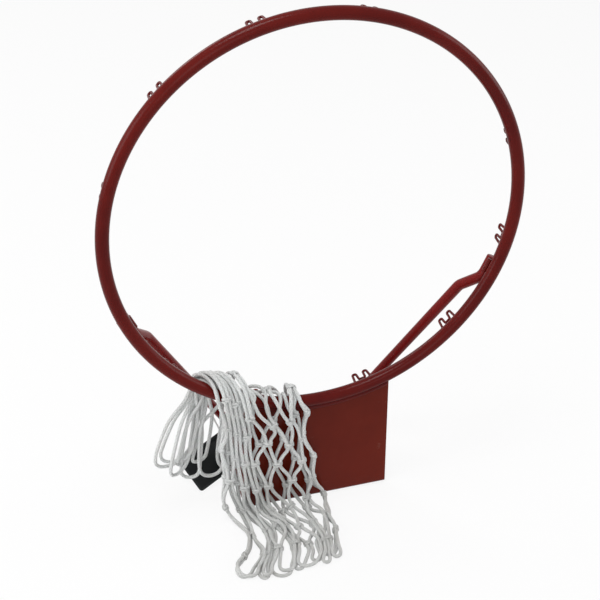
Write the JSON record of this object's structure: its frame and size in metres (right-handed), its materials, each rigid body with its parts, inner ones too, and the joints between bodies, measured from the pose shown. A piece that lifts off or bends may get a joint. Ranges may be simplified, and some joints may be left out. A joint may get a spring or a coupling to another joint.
{
  "type": "basketball ring with bracket and net",
  "caption": "Painted steel basketball ring with folded fixing bracket, cranked stays, wire net hooks, a loose white net folded over the bar and a hang tag.",
  "frame": {"origin": "centre of the four fixing holes, on the fixing face that rests on the floor or on a backboard", "axes": "+Z out of the fixing face, along the ring's plane; +Y away from the ring's playing side; +X to the right as the picture shows it"},
  "size_m": [0.4799, 0.2983, 0.615],
  "materials": {
    "frame_paint": "semi-gloss",
    "net_cord": "braided",
    "tag_card": "gloss",
    "tie_cord": "twisted"
  },
  "bodies": {
    "frame": {"rim_ring": "frame_paint", "bracket": "frame_paint", "stay_left": "frame_paint", "stay_right": "frame_paint", "weld_neck_front": "frame_paint", "weld_neck_back": "frame_paint", "weld_stay_top_left": "frame_paint", "weld_stay_top_right": "frame_paint", "weld_stay_foot_left": "frame_paint", "weld_stay_foot_right": "frame_paint", "net_hook_01": "frame_paint", "net_hook_02": "frame_paint", "net_hook_03": "frame_paint", "net_hook_04": "frame_paint", "net_hook_05": "frame_paint", "net_hook_06": "frame_paint", "net_hook_07": "frame_paint", "net_hook_08": "frame_paint", "net_hook_09": "frame_paint", "net_hook_10": "frame_paint", "net_hook_11": "frame_paint", "net_hook_12": "frame_paint"},
    "net": {"net_top_loops": "net_cord", "net_crest": "net_cord", "net_front_fall": "net_cord", "net_floor_tail": "net_cord"},
    "tag": {"hang_tag": "tag_card", "tag_tie": "tie_cord"}
  },
  "joints": [
    {"name": "net_lift", "type": "slide", "parent": "frame", "child": "net", "axis": [0, 0, 1], "range_m": [0, 0.04]},
    {"name": "tag_swing", "type": "hinge", "parent": "frame", "child": "tag", "pos_m": [-0.09659, 0.03682, 0.079], "axis": [-0.4639, -0.292, 0.8364], "range_deg": [0, 25]}
  ]
}
